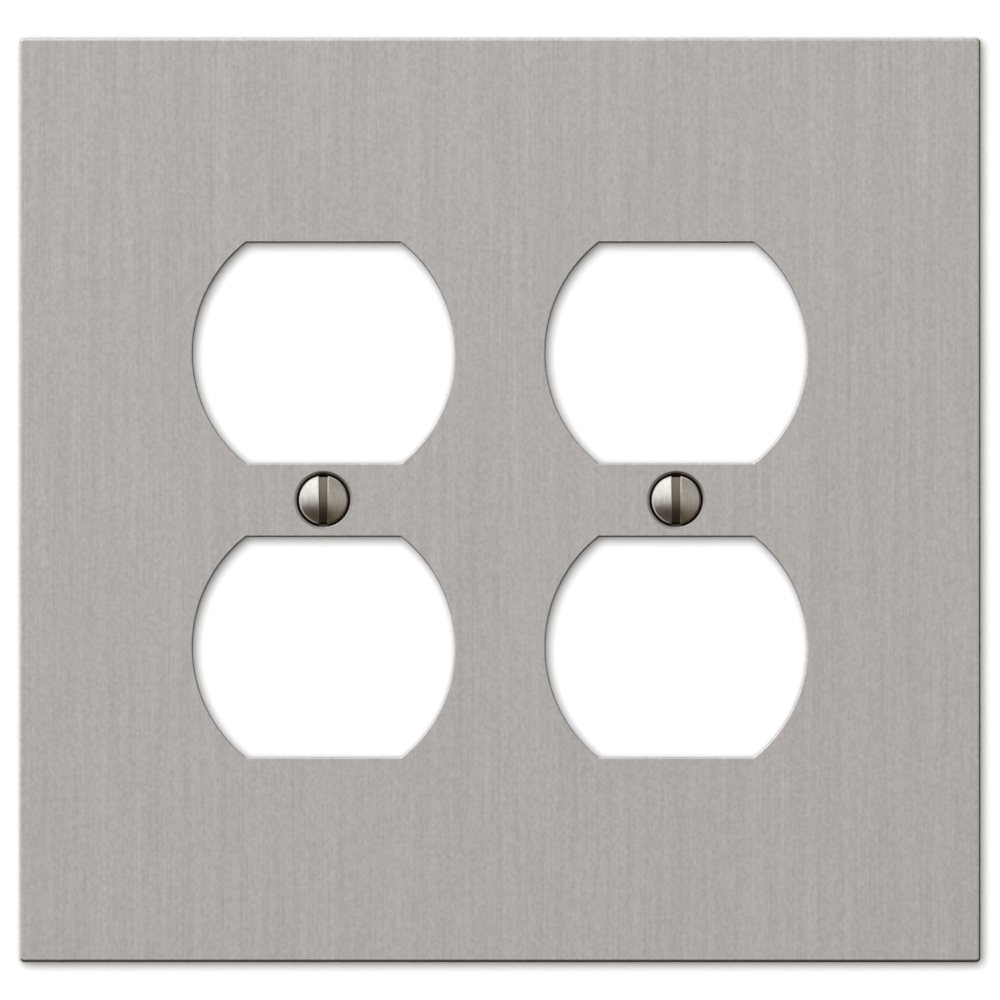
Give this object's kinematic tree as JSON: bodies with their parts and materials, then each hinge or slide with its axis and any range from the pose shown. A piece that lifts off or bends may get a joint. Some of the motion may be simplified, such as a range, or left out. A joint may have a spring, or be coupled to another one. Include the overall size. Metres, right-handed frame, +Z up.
{
  "type": "wall plate cover",
  "caption": "Square-edged brushed metal cover plate for side-by-side duplex receptacles, with a hollow back, countersunk screw holes and slotted oval-head screws.",
  "frame": {"origin": "centre of the cover's outline, in the plane of the wall that the back rim rests on", "axes": "+X across the width, +Z up, +Y into the wall, so the front face looks along -Y"},
  "size_m": [0.1254, 0.0138, 0.1208],
  "materials": {
    "satin_nickel": "vertically brushed satin nickel",
    "screw_nickel": "polished warm nickel"
  },
  "bodies": {
    "plate": {"face_plate": "satin_nickel"},
    "left_screw": {"left_screw": "screw_nickel"},
    "right_screw": {"right_screw": "screw_nickel"}
  },
  "joints": [
    {"name": "left_screw_turn", "type": "hinge", "parent": "plate", "child": "left_screw", "pos_m": [-0.02302, 0, 0], "axis": [0, -1, 0], "continuous": true},
    {"name": "right_screw_turn", "type": "hinge", "parent": "plate", "child": "right_screw", "pos_m": [0.02302, 0, 0], "axis": [0, -1, 0], "continuous": true}
  ]
}
